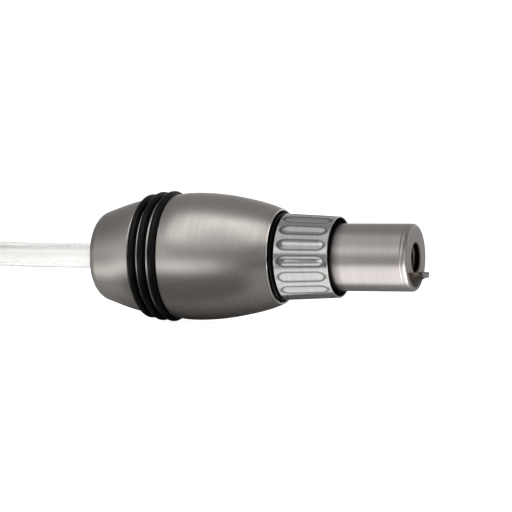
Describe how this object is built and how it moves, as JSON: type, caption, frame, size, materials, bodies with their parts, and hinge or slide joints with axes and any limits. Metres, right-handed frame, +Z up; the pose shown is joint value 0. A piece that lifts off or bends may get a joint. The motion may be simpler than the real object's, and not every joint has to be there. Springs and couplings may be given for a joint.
{
  "type": "pneumatic impact handpiece",
  "caption": "Palm-held air hammer: bulb body with rubber grip rings, fluted setting collar, round nose with a bore and an off-centre beak, and a soft air hose tied in a hank.",
  "frame": {"origin": "on the ground under the middle of the handpiece's length, without the hose", "axes": "+X along the tool's axis towards the nose, +Z up, the beak below the bore"},
  "size_m": [0.222, 0.0683, 0.0316],
  "materials": {
    "body_steel": "satin, turned",
    "bright_steel": "bright, fine brushed",
    "nose_steel": "satin",
    "hard_steel": "ground",
    "black_steel": "black oxide",
    "rubber": "semi-matte",
    "brass": "turned",
    "sintered_bronze": "porous, matte",
    "hose": "milky translucent",
    "strap": "woven"
  },
  "bodies": {
    "housing": {"rear_shell": "body_steel", "front_shell": "body_steel", "grip_ring_rear": "rubber", "grip_ring_middle": "rubber", "grip_ring_front": "rubber", "shell_seal": "rubber", "hose_ferrule": "brass", "hose_fitting": "brass", "fitting_seal": "rubber", "inlet_filter": "sintered_bronze", "cylinder_liner": "hard_steel", "liner_seal_rear": "rubber", "liner_seal_front": "rubber", "rear_buffer": "rubber", "front_buffer": "rubber", "piston_spring": "hard_steel", "neck_tube": "black_steel", "sleeve_key": "hard_steel", "collar_ring": "rubber", "collar_retainer": "black_steel", "nose_key": "hard_steel", "nose_cushion": "rubber", "hose": "hose", "hose_hank": "hose", "hose_tail": "hose", "hank_tie_left": "strap", "hank_tie_right": "strap", "plug_nut": "brass", "hose_plug": "hard_steel"},
    "collar": {"adjusting_collar": "bright_steel"},
    "sleeve": {"exhaust_sleeve": "black_steel"},
    "hammer": {"piston": "hard_steel"},
    "nose_holder": {"nose": "nose_steel", "nose_bushing": "hard_steel"}
  },
  "joints": [
    {"name": "collar_turn", "type": "hinge", "parent": "housing", "child": "collar", "pos_m": [0.01305, 0, 0.01581], "axis": [1, 0, 0], "range_deg": [0, 330]},
    {"name": "sleeve_slide", "type": "slide", "parent": "housing", "child": "sleeve", "axis": [1, 0, 0], "range_m": [0, 0.0011]},
    {"name": "piston_slide", "type": "slide", "parent": "housing", "child": "hammer", "axis": [1, 0, 0], "range_m": [0, 0.0052], "stiffness_N_per_m": 400, "springref_m": -0.003, "deforming": ["piston_spring"]},
    {"name": "nose_slide", "type": "slide", "parent": "housing", "child": "nose_holder", "axis": [1, 0, 0], "range_m": [-0.0008, 0], "stiffness_N_per_m": 2000, "springref_m": 0.0005}
  ],
  "couplings": [
    {"joint": "sleeve_slide", "follows": "collar_turn", "m_per_rad": 0.00019}
  ]
}
